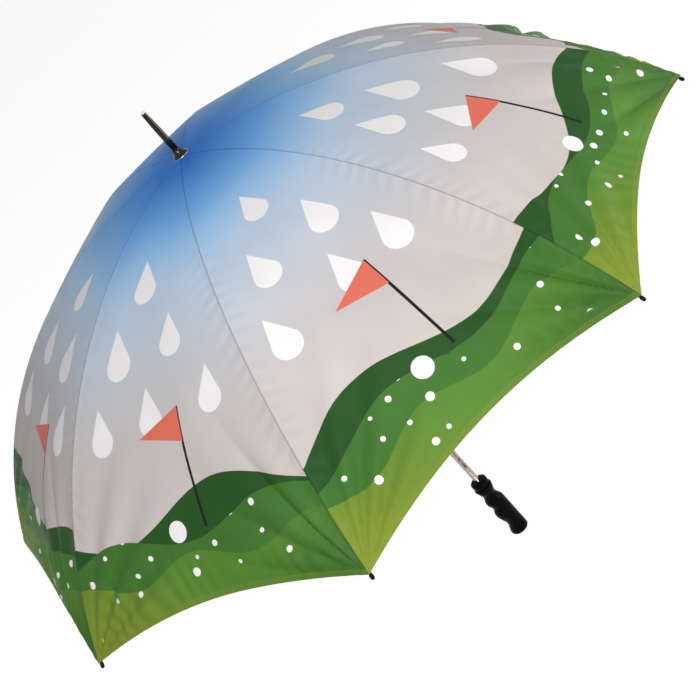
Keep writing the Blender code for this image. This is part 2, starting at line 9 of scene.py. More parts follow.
import bpy
import numpy as np
from bpy.props import FloatProperty, FloatVectorProperty, PointerProperty
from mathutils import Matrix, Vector

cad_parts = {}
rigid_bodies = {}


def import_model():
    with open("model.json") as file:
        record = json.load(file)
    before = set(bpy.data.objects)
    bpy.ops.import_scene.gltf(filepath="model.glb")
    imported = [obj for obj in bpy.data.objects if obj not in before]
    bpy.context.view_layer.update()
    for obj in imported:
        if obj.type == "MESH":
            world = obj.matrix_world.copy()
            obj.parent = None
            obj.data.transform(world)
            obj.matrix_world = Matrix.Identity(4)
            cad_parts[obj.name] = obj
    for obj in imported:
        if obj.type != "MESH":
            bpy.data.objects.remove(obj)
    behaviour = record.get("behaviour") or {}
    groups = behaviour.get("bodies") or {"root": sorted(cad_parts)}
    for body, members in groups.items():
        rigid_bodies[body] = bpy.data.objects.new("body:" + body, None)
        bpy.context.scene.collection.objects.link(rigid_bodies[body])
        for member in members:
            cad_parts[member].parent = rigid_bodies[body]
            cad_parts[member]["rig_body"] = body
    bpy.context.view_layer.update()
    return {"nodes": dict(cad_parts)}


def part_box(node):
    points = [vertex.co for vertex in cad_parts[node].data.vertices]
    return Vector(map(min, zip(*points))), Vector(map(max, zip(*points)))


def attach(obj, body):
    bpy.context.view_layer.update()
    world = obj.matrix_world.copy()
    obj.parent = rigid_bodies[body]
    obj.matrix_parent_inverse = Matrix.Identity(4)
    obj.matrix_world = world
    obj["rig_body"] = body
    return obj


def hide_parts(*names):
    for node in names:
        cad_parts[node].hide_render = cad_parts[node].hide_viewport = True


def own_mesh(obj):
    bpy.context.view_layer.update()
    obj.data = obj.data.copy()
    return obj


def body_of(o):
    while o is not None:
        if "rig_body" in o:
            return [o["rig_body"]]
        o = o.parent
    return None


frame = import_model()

bl_info = {
    "name": "Golf Umbrella",
    "version": (1, 0, 0),
    "blender": (4, 5, 0),
    "location": "View3D > Sidebar > Umbrella",
    "description": "Dresses a packed golf umbrella with cloth, mouldings, metal and a studio stage",
    "category": "Add Mesh",
}

FULL_TURN = 2 * math.pi
RIB_COUNT = 8
RIB_STEP = FULL_TURN / RIB_COUNT
CROWN_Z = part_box("canopy_gore_1")[1][2]
TURNED_SIDES = 72
SMOOTH_ANGLE = math.radians(38)
WHITE = (1.0, 1.0, 1.0, 1.0)


def length(name, description, default):
    """A size in metres that a user may change."""
    return FloatProperty(name=name, description=description, default=default, unit="LENGTH", precision=5)


def ink(name, description, default):
    """A colour as it is seen, from 0 to 1."""
    return FloatVectorProperty(name=name, description=description, default=default, size=3,
                               subtype="COLOR_GAMMA", min=0.0, max=1.0)


def spot(name, description, default):
    """A place in the scene."""
    return FloatVectorProperty(name=name, description=description, default=default, subtype="TRANSLATION")


def watts(name, description, default):
    """A lamp's power."""
    return FloatProperty(name=name, description=description, default=default, unit="POWER")


class CanopySizes(bpy.types.PropertyGroup):
    """The cloth and how it is sewn and stretched."""
    rib_length: length("Rib length", "Seam from the crown to the rib's tip", 0.750)
    rib_bend: FloatProperty(name="Rib bend", description="Slope of the seam at its tip",
                            default=math.radians(60), subtype="ANGLE")
    crown_radius: length("Crown radius", "Where the seams start to fall", 0.012)
    hole_radius: length("Hole radius", "Hole in the cloth for the shaft", 0.0064)
    hem_dip: length("Hem dip", "How far the hem climbs between two tips", 0.035)
    panel_rise: length("Panel rise", "How far a panel stands off the line between two tips", 0.0064)
    thickness: length("Thickness", "The cloth's thickness", 0.0005)
    joint_reach: length("Joint reach", "Seam from the crown to the rib's joint", 0.330)
    split_bow: length("Split bow", "How much further out the cloth parts between two ribs", 0.053)
    lap: length("Lap", "How far the outer cloth runs on under the inner cloth", 0.018)
    crown_lap: length("Crown lap", "Seam from the crown to where the inner cloth laps its neighbour", 0.165)
    crown_full: length("Crown full lap", "Seam from the crown to where that lap is at its widest", 0.050)
    hem_width: length("Hem width", "Width of the rolled hem", 0.0085)
    hem_fold: length("Hem fold", "How far the rolled hem stands proud", 0.0007)
    hem_pucker: length("Hem pucker", "Height of the gathers above the hem", 0.0017)
    seam_ridge: length("Seam ridge", "Height of the felled seam over a rib", 0.0002)
    seam_gather: length("Seam gather", "Height of the gathers along a seam", 0.0014)
    tip_pull: FloatProperty(name="Tip pull", description="Steepness of the folds that run from a tip",
                            default=0.155)
    inner_keep: FloatProperty(name="Inner fold", description="Width left of the inner cloth when furled",
                              default=0.30, subtype="FACTOR")
    outer_keep: FloatProperty(name="Outer fold", description="Width left of the outer cloth when furled",
                              default=0.155, subtype="FACTOR")


class PrintColours(bpy.types.PropertyGroup):
    """Inks of the canopy's print."""
    crown: ink("Crown", "Blue round the crown", (0.18, 0.49, 0.865))
    sky: ink("Sky", "Lighter blue below it", (0.495, 0.755, 0.965))
    haze: ink("Haze", "Pale blue of the middle", (0.775, 0.862, 0.947))
    mist: ink("Mist", "Warm grey above the green", (0.815, 0.775, 0.75))
    leaf: ink("Leaf", "Dark green of the far wave", (0.15, 0.31, 0.13))
    grass: ink("Grass", "Green of the middle wave", (0.26, 0.45, 0.18))
    meadow: ink("Meadow", "Light green of the near wave", (0.34, 0.52, 0.20))
    hem: ink("Hem", "Yellow green of the hem", (0.51, 0.58, 0.19))
    drop: ink("Drop", "White of the drops and dots", (0.98, 0.97, 0.97))
    flag: ink("Flag", "Coral of the pennants", (0.90, 0.46, 0.38))
    pole: ink("Pole", "Near black of the poles", (0.08, 0.08, 0.09))


class HandleSizes(bpy.types.PropertyGroup):
    """The grip and the ferrule."""
    grip_side: FloatProperty(name="Grip side", description="Direction that the finger grooves face",
                             default=math.radians(-74), subtype="ANGLE")
    foot_radius: length("Foot radius", "Flat disc at the grip's end", 0.0095)
    end_round: length("End round", "Rounding of the grip's end", 0.0050)
    edge_round: length("Edge round", "Rounding of the collar and the cap", 0.0030)
    ferrule_taper: length("Ferrule taper", "Length of the ferrule's tapered end", 0.030)
    ferrule_tip: length("Ferrule tip", "Radius of the ferrule's end", 0.0036)
    cup_neck: length("Cup neck", "Radius of the cup's upper end", 0.0060)
    cup_rim: length("Cup rim", "Height of the cup's rim", 0.0016)


class StageSettings(bpy.types.PropertyGroup):
    """Camera, lamps and floor."""
    camera_place: spot("Camera place", "Where the camera stands", (2.3606, 0.6784, 1.6496))
    camera_turn: FloatVectorProperty(
        name="Camera turn", description="How the camera is turned", subtype="EULER",
        default=(math.radians(56.57), math.radians(37.352), math.radians(84.434)))
    lens: FloatProperty(name="Lens", description="Focal length in millimetres", default=91.276)
    floor: ink("Floor", "The pale floor", (0.84, 0.84, 0.84))
    floor_glow: FloatProperty(name="Floor glow", description="Added white that the camera sees",
                              default=0.80)
    sky_light: FloatProperty(name="Sky light", description="Light from all round", default=0.155)
    key_place: spot("Key place", "Where the main lamp hangs", (2.66, 0.62, 2.25))
    key_size: length("Key size", "Side of the main lamp", 1.6)
    key_power: watts("Key power", "Main lamp", 80.5)
    fill_place: spot("Fill place", "Where the lamp on the right hangs", (0.1, 2.8, 0.45))
    fill_size: length("Fill size", "Side of the lamp on the right", 1.0)
    fill_power: watts("Fill power", "Lamp on the right", 33.0)
    aim: spot("Aim", "Where the lamps point", (0.0, 0.0, 0.65))


def pick(scene_object):
    """Makes one object the only one selected and active."""
    bpy.ops.object.select_all(action="DESELECT")
    scene_object.select_set(True)
    bpy.context.view_layer.objects.active = scene_object


def name_piece(piece, name):
    """Names a piece and its mesh alike."""
    piece.name = name
    piece.data.name = name
    return piece


def smoothstep(value, low, high):
    """0 at low, 1 at high, eased between them."""
    share = np.clip((value - low) / (high - low), 0.0, 1.0)
    return share * share * (3 - 2 * share)


def linear(colour):
    """A colour as it is seen, in the scene's linear light."""
    parts = [c / 12.92 if c <= 0.04045 else ((c + 0.055) / 1.055) ** 2.4 for c in colour]
    return (*parts, 1.0)


# Node trees
def feed(tree, socket, value):
    """Links a socket or sets a value."""
    if isinstance(value, bpy.types.NodeSocket):
        tree.links.new(value, socket)
    else:
        socket.default_value = value


def fill(tree, made, inputs):
    """Links or sets a node's inputs, by their names or numbers."""
    for name, value in inputs.items():
        feed(tree, made.inputs[name], value)


def node(tree, kind, inputs=None, **settings):
    """A shader node with its settings and inputs."""
    made = tree.nodes.new("ShaderNode" + kind)
    for name, value in settings.items():
        setattr(made, name, value)
    fill(tree, made, inputs or {})
    return made


def calc(tree, operation, *values):
    """One sum on sockets or numbers."""
    return node(tree, "Math", dict(enumerate(values)), operation=operation).outputs[0]


def over(tree, value, edge, soft):
    """1 where value is over edge, with a soft step."""
    lowest = calc(tree, "SUBTRACT", edge, soft)
    highest = calc(tree, "ADD", edge, soft)
    made = node(tree, "MapRange", {"Value": value, "From Min": lowest, "From Max": highest},
                interpolation_type="SMOOTHSTEP")
    return made.outputs[0]


def under(tree, value, edge, soft):
    """1 where value is under edge, with a soft step."""
    return calc(tree, "SUBTRACT", 1.0, over(tree, value, edge, soft))


def overlap(tree, *masks):
    """Product of masks and strengths, 1 only where all of them are."""
    result = masks[0]
    for mask in masks[1:]:
        result = calc(tree, "MULTIPLY", result, mask)
    return result


def away(tree, x, y):
    """Distance of a point from the origin."""
    squares = calc(tree, "MULTIPLY_ADD", x, x, calc(tree, "MULTIPLY", y, y))
    return calc(tree, "SQRT", squares)


def paint(tree, mask, ground, colour):
    """Colour laid on the ground where the mask says; 6, 7 and 2 are the node's colour sockets."""
    return node(tree, "Mix", {0: mask, 6: ground, 7: colour}, data_type="RGBA").outputs[2]


def noise(tree, place, scale, detail=3.0):
    """Noise from 0 to 1 at a place."""
    made = node(tree, "TexNoise", {"Vector": place, "Scale": scale, "Detail": detail})
    return made.outputs["Fac"]


def spread(tree, value, low, high):
    """Noise, which seldom leaves 0.3 to 0.7, stretched to a range."""
    made = node(tree, "MapRange", {"Value": value, "From Min": 0.3, "From Max": 0.7, "To Min": low,
                                   "To Max": high})
    return made.outputs[0]


def object_place(tree, scale=(1.0, 1.0, 1.0)):
    """Object coordinates, stretched by a scale."""
    place = node(tree, "TexCoord").outputs["Object"]
    return node(tree, "Mapping", {"Vector": place, "Scale": scale}).outputs[0]


def new_material(name):
    """An empty node material with its shader."""
    made = bpy.data.materials.new(name)
    made.use_nodes = True
    return made, made.node_tree, made.node_tree.nodes["Principled BSDF"]


def bump(tree, shader, height, distance, strength):
    """Relief on a shader."""
    made = node(tree, "Bump", {"Height": height, "Distance": distance, "Strength": strength})
    fill(tree, shader, {"Normal": made.outputs[0]})


# The print: across is the distance from a panel's middle, reach the distance down its seam
def wave_level(tree, across, panel, level, height, span, lag):
    """Edge of a wave band along a panel."""
    turn = calc(tree, "MULTIPLY", across, FULL_TURN / span)
    turn = calc(tree, "MULTIPLY_ADD", panel, lag, turn)
    return calc(tree, "MULTIPLY_ADD", calc(tree, "SINE", turn), height, level)


def cell_draws(tree, line, row, panel):
    """Three draws from 0 to 1 for one cell of a panel's grid."""
    seed = node(tree, "CombineXYZ", {"X": line, "Y": row, "Z": panel}).outputs[0]
    chance = node(tree, "TexWhiteNoise", {"Vector": seed}, noise_dimensions="3D").outputs["Color"]
    return node(tree, "SeparateColor", {"Color": chance}).outputs


def drop_shape(tree, x, y):
    """A drop of radius 1 with its point up: a ball under a cone that touches it."""
    point, soft = 2.5, 0.03
    lean = math.asin(1 / point)
    ball = calc(tree, "SUBTRACT", away(tree, x, y), 1.0)
    wall = calc(tree, "MULTIPLY_ADD", calc(tree, "SUBTRACT", y, point), math.sin(lean),
                calc(tree, "MULTIPLY", x, math.cos(lean)))
    cone = calc(tree, "MAXIMUM", wall, calc(tree, "SUBTRACT", 1 / point, y))
    return under(tree, calc(tree, "MINIMUM", ball, cone), 0.0, soft)


def drop_mask(tree, cloth, across, reach, panel):
    """Rain drops in staggered rows, their points towards the crown, clear of the seams."""
    column, row_step, stagger, centre_share = 0.102, 0.100, 0.5, 0.62
    smallest, growth, side_play, seam_room = 0.0180, 0.0060, 0.026, 0.004
    first_row, last_row = 1, 4
    row = calc(tree, "FLOOR", calc(tree, "DIVIDE", reach, row_step))
    shift = calc(tree, "MULTIPLY", calc(tree, "MODULO", row, 2.0), stagger)
    line = calc(tree, "ROUND", calc(tree, "ADD", calc(tree, "DIVIDE", across, column), shift))
    draws = cell_draws(tree, line, row, panel)
    size = calc(tree, "MULTIPLY_ADD", draws[2], growth, smallest)
    side = calc(tree, "MULTIPLY_ADD", draws[0], side_play, -side_play / 2)
    middle = calc(tree, "MULTIPLY_ADD", calc(tree, "SUBTRACT", line, shift), column, side)
    level = calc(tree, "MULTIPLY", calc(tree, "ADD", row, centre_share), row_step)
    x = calc(tree, "ABSOLUTE", calc(tree, "DIVIDE", calc(tree, "SUBTRACT", across, middle), size))
    y = calc(tree, "DIVIDE", calc(tree, "SUBTRACT", level, reach), size)
    bend = cloth.rib_length / cloth.rib_bend
    half = calc(tree, "MULTIPLY", calc(tree, "SINE", calc(tree, "DIVIDE", level, bend)),
                bend * math.sin(RIB_STEP / 2))
    room = calc(tree, "SUBTRACT", half, calc(tree, "ABSOLUTE", middle))
    fits = calc(tree, "GREATER_THAN", room, calc(tree, "ADD", size, seam_room))
    rows = overlap(tree, calc(tree, "GREATER_THAN", row, first_row - 0.5),
                   calc(tree, "LESS_THAN", row, last_row + 0.5))
    return overlap(tree, drop_shape(tree, x, y), fits, rows)


def dot_mask(tree, across, reach, panel):
    """Small dots strewn on the green."""
    cell, play, largest, smallest_share, soft = 0.038, 0.020, 0.0062, 0.45, 0.0004
    line = calc(tree, "ROUND", calc(tree, "DIVIDE", across, cell))
    row = calc(tree, "ROUND", calc(tree, "DIVIDE", reach, cell))
    draws = cell_draws(tree, line, row, panel)
    moves = [calc(tree, "MULTIPLY_ADD", draw, play, -play / 2) for draw in (draws[0], draws[1])]
    centre = [calc(tree, "MULTIPLY_ADD", at, cell, move) for at, move in zip((line, row), moves)]
    off = away(tree, calc(tree, "SUBTRACT", across, centre[0]), calc(tree, "SUBTRACT", reach, centre[1]))
    shown = calc(tree, "GREATER_THAN", draws[2], smallest_share)
    return overlap(tree, under(tree, off, calc(tree, "MULTIPLY", draws[2], largest), soft), shown)


def pennant_masks(tree, across, reach):
    """A golf flag on its pole, and the ball beside its hole: pole, pennant, ball and hole."""
    pole_across, pole_foot, pole_top, pole_half = 0.036, 0.622, 0.168, 0.0021
    flag_height, flag_width = 0.050, 0.074
    ball_aside, ball_up, ball_radius = 0.050, 0.006, 0.015
    hole_radius, hole_flat = 0.022, 3.4
    soft = 0.0005
    x = calc(tree, "SUBTRACT", across, pole_across)
    y = calc(tree, "SUBTRACT", pole_foot, reach)
    upright = overlap(tree, over(tree, y, 0.0, soft), under(tree, y, pole_top, soft))
    pole = overlap(tree, under(tree, calc(tree, "ABSOLUTE", x), pole_half, soft), upright)
    off = calc(tree, "ABSOLUTE", calc(tree, "SUBTRACT", y, pole_top - flag_height / 2))
    reach_out = calc(tree, "MULTIPLY_ADD", off, -2 * flag_width / flag_height, flag_width)
    pennant = overlap(tree, under(tree, calc(tree, "MULTIPLY", x, -1.0), reach_out, soft),
                      under(tree, x, 0.0, soft), under(tree, off, flag_height / 2, soft))
    ball = away(tree, calc(tree, "ADD", x, ball_aside), calc(tree, "SUBTRACT", y, ball_up))
    hole = away(tree, x, calc(tree, "MULTIPLY", y, hole_flat))
    return pole, pennant, under(tree, ball, ball_radius, soft), under(tree, hole, hole_radius, soft)


def sky_colour(tree, cloth, inks, reach):
    """The sky, from the crown's blue down to the warm grey above the green."""
    stops = ((0.0, inks.crown), (0.08, inks.crown), (0.23, inks.sky), (0.36, inks.haze), (0.62, inks.mist))
    ramp = node(tree, "ValToRGB", {"Fac": calc(tree, "DIVIDE", reach, cloth.rib_length)})
    bar = ramp.color_ramp
    bar.interpolation = "B_SPLINE"
    while len(bar.elements) < len(stops):
        bar.elements.new(0.5)
    for element, (position, colour) in zip(bar.elements, stops):
        element.position = position
        element.color = linear(colour)
    return ramp.outputs[0]


def paint_green(tree, inks, colour, across, reach, panel):
    """Lays on the green waves and the tints of a panel's corners; also gives the middle wave's mask."""
    edge_soft = 0.0006
    # Ink, mean level, height, span and lag from panel to panel of each wave's edge
    waves = ((inks.leaf, 0.588, 0.026, 0.37, 2.3), (inks.grass, 0.618, 0.016, 0.29, 1.1),
             (inks.meadow, 0.660, 0.013, 0.21, 0.7))
    masks = []
    for wave_ink, level, height, span, lag in waves:
        edge = wave_level(tree, across, panel, level, height, span, lag)
        masks.append(over(tree, reach, edge, edge_soft))
        colour = paint(tree, masks[-1], colour, linear(wave_ink))
    # Ink, slant across the panel, level, softness and strength of each corner's tint
    corners = ((inks.hem, -0.60, 0.765, 0.10, 0.90), (inks.leaf, 0.60, 0.790, 0.09, 0.60))
    for corner_ink, slant, level, soft, strength in corners:
        along = calc(tree, "MULTIPLY_ADD", across, slant, reach)
        tint = overlap(tree, masks[2], over(tree, along, level, soft), strength)
        colour = paint(tree, tint, colour, linear(corner_ink))
    return colour, masks[1]


def paint_sewing(tree, cloth, inks, colour, across, reach, seam, hem):
    """Shows the allowance through the cloth on one side of a seam, a painted shadow line along the seam and
    the hem.
    """
    allowance_width, allowance_soft, allowance_strength = 0.009, 0.003, 0.22
    shown_from, from_soft, shown_to, to_soft = 0.30, 0.12, 0.56, 0.03
    line_width, line_soft, line_strength = 0.0010, 0.0006, 0.38
    hem_soft, hem_strength = 0.0008, 0.22
    one_side = calc(tree, "GREATER_THAN", across, 0.0)
    shown = overlap(tree, over(tree, reach, shown_from, from_soft), under(tree, reach, shown_to, to_soft))
    beside = under(tree, seam, allowance_width, allowance_soft)
    allowance = overlap(tree, beside, one_side, shown, allowance_strength)
    colour = paint(tree, allowance, colour, linear(inks.mist))
    # Painted shade: a thin dark line down each seam, the shade in the seam's groove.
    seam_shadow = overlap(tree, under(tree, seam, line_width, line_soft), line_strength)
    colour = paint(tree, seam_shadow, colour, linear(inks.pole))
    rolled = overlap(tree, under(tree, hem, cloth.hem_width, hem_soft), hem_strength)
    return paint(tree, rolled, colour, linear(inks.hem))


def print_colour(tree, cloth, inks):
    """The printed colour of the cloth, with its seams, a painted shadow line along each seam and the hem,
    and the places along them.
    """
    place = node(tree, "SeparateXYZ", {0: node(tree, "UVMap", uv_map="panel").outputs[0]}).outputs
    edges = node(tree, "SeparateXYZ", {0: node(tree, "UVMap", uv_map="edge").outputs[0]}).outputs
    panel = node(tree, "Attribute", attribute_name="panel_index").outputs["Fac"]
    across, reach = place[0], place[1]
    seam, hem = edges[0], edges[1]
    bare_edge, bare_soft = 0.020, 0.002
    colour = sky_colour(tree, cloth, inks, reach)
    colour = paint(tree, drop_mask(tree, cloth, across, reach, panel), colour, linear(inks.drop))
    colour, green = paint_green(tree, inks, colour, across, reach, panel)
    inland = overlap(tree, green, over(tree, hem, bare_edge, bare_soft),
                     over(tree, seam, bare_edge, bare_soft))
    dots = overlap(tree, dot_mask(tree, across, reach, panel), inland)
    colour = paint(tree, dots, colour, linear(inks.drop))
    pole, pennant, ball, hole = pennant_masks(tree, across, reach)
    for mask, motif in ((hole, inks.leaf), (pole, inks.pole), (pennant, inks.flag), (ball, inks.drop)):
        colour = paint(tree, mask, colour, linear(motif))
    colour = paint_sewing(tree, cloth, inks, colour, across, reach, seam, hem)
    return colour, across, reach, seam, hem


def stitch_mask(tree, along, off, line):
    """A row of lock stitches at a distance from an edge."""
    stitch, half_width, soft = 0.0032, 0.0004, 0.0002
    gap_edge, gap_soft = -0.3, 0.2
    dash = calc(tree, "SINE", calc(tree, "MULTIPLY", along, FULL_TURN / stitch))
    row = under(tree, calc(tree, "ABSOLUTE", calc(tree, "SUBTRACT", off, line)), half_width, soft)
    return overlap(tree, row, over(tree, dash, gap_edge, gap_soft))


def cloth_material(name, cloth, inks, fade):
    """Satin polyester with its print; fade shows how pale the print is on this face."""
    seam_stitch, hem_stitch, stitch_strength, stitch_height = 0.0048, 0.0068, 0.035, 0.25
    yarn, weave_height = 0.0011, 0.06
    made, tree, shader = new_material(name)
    colour, across, reach, seam, hem = print_colour(tree, cloth, inks)
    place = object_place(tree)
    patch = spread(tree, noise(tree, place, scale=7.0), low=0.90, high=1.0)
    colour = node(tree, "VectorMath", {0: colour, "Scale": patch}, operation="SCALE").outputs[0]
    if fade:
        colour = paint(tree, fade, colour, linear(inks.mist))
    stitches = calc(tree, "MAXIMUM", stitch_mask(tree, reach, seam, seam_stitch),
                    stitch_mask(tree, across, hem, hem_stitch))
    colour = paint(tree, overlap(tree, stitches, stitch_strength), colour, linear(inks.drop))
    rough = spread(tree, noise(tree, place, scale=40.0), low=0.50, high=0.62)
    fill(tree, shader, {"Base Color": colour, "Roughness": rough, "Specular IOR Level": 0.10,
                        "Sheen Weight": 0.015, "Sheen Roughness": 0.35})
    warp = calc(tree, "SINE", calc(tree, "MULTIPLY", across, FULL_TURN / yarn))
    weft = calc(tree, "SINE", calc(tree, "MULTIPLY", reach, FULL_TURN / yarn))
    weave = overlap(tree, warp, weft, weave_height)
    height = calc(tree, "ADD", weave, noise(tree, place, scale=22.0, detail=5.0))
    height = calc(tree, "MULTIPLY_ADD", stitches, stitch_height, height)
    bump(tree, shader, height, distance=0.0016, strength=0.30)
    return made


# Finishes of the mouldings and metals
def moulding_material(name, colour, roughness, gloss=0.30):
    """Moulded plastic with a fine spark-eroded grain and faint handling wear."""
    smoother, rougher = 0.07, 0.08
    made, tree, shader = new_material(name)
    place = object_place(tree)
    wear = spread(tree, noise(tree, place, scale=60.0, detail=6.0), low=0.0, high=0.35)
    worn = [c * 1.5 + 0.01 for c in colour]
    tint = paint(tree, wear, linear(colour), linear(worn))
    patch = noise(tree, place, scale=140.0, detail=4.0)
    rough = spread(tree, patch, low=roughness - smoother, high=roughness + rougher)
    fill(tree, shader, {"Base Color": tint, "Roughness": rough, "Specular IOR Level": gloss})
    bump(tree, shader, noise(tree, place, scale=1500.0, detail=2.0), distance=0.0002, strength=0.35)
    return made


def metal_material(name, colour, roughness, grain):
    """Drawn or polished metal: fine lines along the piece and a little unevenness."""
    fine, smoother, rougher = 900.0, 0.7, 1.4
    made, tree, shader = new_material(name)
    lines = noise(tree, object_place(tree, (fine, fine, grain)), scale=1.0, detail=2.0)
    patch = noise(tree, object_place(tree), scale=35.0, detail=4.0)
    dull = [c * 0.86 for c in colour]
    tint = paint(tree, spread(tree, patch, low=0.0, high=0.30), linear(colour), linear(dull))
    mixed = calc(tree, "MULTIPLY_ADD", lines, 0.5, calc(tree, "MULTIPLY", patch, 0.5))
    rough = spread(tree, mixed, low=roughness * smoother, high=roughness * rougher)
    fill(tree, shader, {"Base Color": tint, "Roughness": rough, "Metallic": 1.0})
    bump(tree, shader, lines, distance=0.0001, strength=0.12)
    return made


# The canopy: here across is the share of the way from one rib to the next
def seam_line(cloth, reach):
    """The seam in a rib's plane: distance from the shaft's axis, height and slope."""
    bend = cloth.rib_length / cloth.rib_bend
    slope = np.maximum(reach, 0) / bend
    out = cloth.crown_radius + np.minimum(reach, 0) + bend * np.sin(slope)
    return out, CROWN_Z - bend * (1 - np.cos(slope)), slope


def bow_at(across):
    """0 on a rib, where across is 0 or 1, and 1 half way between two ribs."""
    return 4 * across * (1 - across)


def waver(place, rate, panel, lag):
    """A wave from -1 to 1 along a place, other on each panel."""
    return np.sin(rate * place + lag * panel)


def crown_edge(cloth, bow):
    """Reach of the hole round the shaft."""
    return cloth.hole_radius - cloth.crown_radius + 0 * bow


def parting(cloth, bow):
    """Reach of the line where the inner cloth ends."""
    return cloth.joint_reach + cloth.split_bow * bow


def lapped_edge(cloth, bow):
    """Reach of the outer cloth's upper edge, under the inner cloth."""
    return parting(cloth, bow) - cloth.lap * bow


def hemline(cloth, bow):
    """Reach of the hem."""
    return cloth.rib_length - cloth.hem_dip * bow


def seam_relief(cloth, panel, reach, seam):
    """The felled seam's ridge, the hollow beside it and the slanted gathers along it."""
    ridge_half, hollow_at, hollow_half, hollow_depth = 0.0028, 0.010, 0.006, 0.6
    fade, clear, pitch, slant = 0.015, 0.004, 0.023, 0.034
    gather_start, gather_full = 0.10, 0.45
    ridge = np.exp(-(seam / ridge_half) ** 2)
    hollow = hollow_depth * np.exp(-((seam - hollow_at) / hollow_half) ** 2)
    close = np.exp(-seam / fade) * (1 - np.exp(-seam / clear))
    wander = 1.4 * waver(reach, 37, panel, 2)
    beat = FULL_TURN * (reach / pitch - seam / slant) + panel + wander
    gather = np.sin(beat) * close * smoothstep(reach, gather_start, gather_full)
    return cloth.seam_ridge * (ridge - hollow) + cloth.seam_gather * gather


def hem_relief(cloth, panel, seam, hem, middle):
    """The rolled hem and the uneven gathers above it."""
    roll_edge, pitch, slant, highest = 0.0012, 0.027, 60, 0.024
    gather_start, gather_full = 0.004, 0.05
    rolled = cloth.hem_fold * smoothstep(hem, cloth.hem_width + roll_edge, cloth.hem_width)
    wander = 2.4 * waver(middle, 41, panel, 1)
    beat = FULL_TURN * middle / pitch + wander + hem * slant
    above = np.maximum(hem, 0) / highest
    pucker = cloth.hem_pucker * np.sin(beat) * above * np.exp(1 - above)
    uneven = 0.6 + 0.4 * waver(middle, 17, panel, 2.3)
    return rolled + pucker * smoothstep(seam, gather_start, gather_full) * uneven


def tip_folds(cloth, panel, across, reach, seam, hem):
    """Folds that fan out from a rib's tip: sharp creases on one side of it, soft waves on the other."""
    crease_angle, wave_angle, wave_height, fold_reach = 0.42, 0.37, 0.30, 0.165
    hem_share, hem_room = 0.35, 0.03
    down = cloth.rib_length - reach
    from_tip = np.hypot(down, seam)
    lean = np.arctan2(seam, np.maximum(down, 1e-6))
    creases = np.abs(np.sin(math.pi * lean / crease_angle + 0.9 * panel + 3.0 * from_tip))
    creases *= 0.85 + 0.35 * waver(lean, 4.3, panel, 1.9)
    waves = wave_height * np.cos(FULL_TURN * lean / wave_angle + 1.7 * panel)
    pull = cloth.tip_pull * from_tip * np.exp(-(from_tip / fold_reach) ** 2)
    pull *= np.where(across > 0.5, creases, waves)
    off_seam = smoothstep(lean, 0.05, 0.35)
    off_middle = smoothstep(np.abs(across - 0.5), 0.02, 0.20)
    near_hem = hem_share + (1 - hem_share) * smoothstep(hem, 0.0, hem_room)
    return pull * off_seam * off_middle * near_hem


def tuck_depth(cloth, lap, ahead, across, reach, bow):
    """How far a sheet dips under the one that laps it, by so many thicknesses of cloth."""
    outer_dip, inner_dip = 2, 2.4
    dip_start, dip_full = 0.5, 0.62
    if lap:
        return outer_dip * cloth.thickness * smoothstep(parting(cloth, bow) - reach, 0.0, lap)
    return inner_dip * cloth.thickness * np.where(ahead, smoothstep(across, dip_start, dip_full), 0)


def write_maps(mesh, rib, turn, chord, middle, reach, seam, hem):
    """Stores the panel and edge places and the panel's number for the print."""
    corners = np.empty(len(mesh.loops), dtype=np.int32)
    mesh.loops.foreach_get("vertex_index", corners)
    face_ahead = turn[corners].reshape(-1, 4).mean(axis=1) > 0
    half = np.where(np.repeat(face_ahead, 4), -chord[corners] / 2, chord[corners] / 2)
    from_middle = np.where(turn[corners] == 0, half, middle[corners])
    maps = {"panel": (from_middle, reach[corners]), "edge": (seam[corners], hem[corners])}
    for name, pair in maps.items():
        layer = mesh.uv_layers.new(name=name)
        layer.data.foreach_set("uv", np.stack(pair, axis=1).ravel())
    index = mesh.attributes.new("panel_index", "FLOAT", "FACE")
    index.data.foreach_set("value", np.where(face_ahead, rib, (rib - 1) % RIB_COUNT).astype(np.float32))


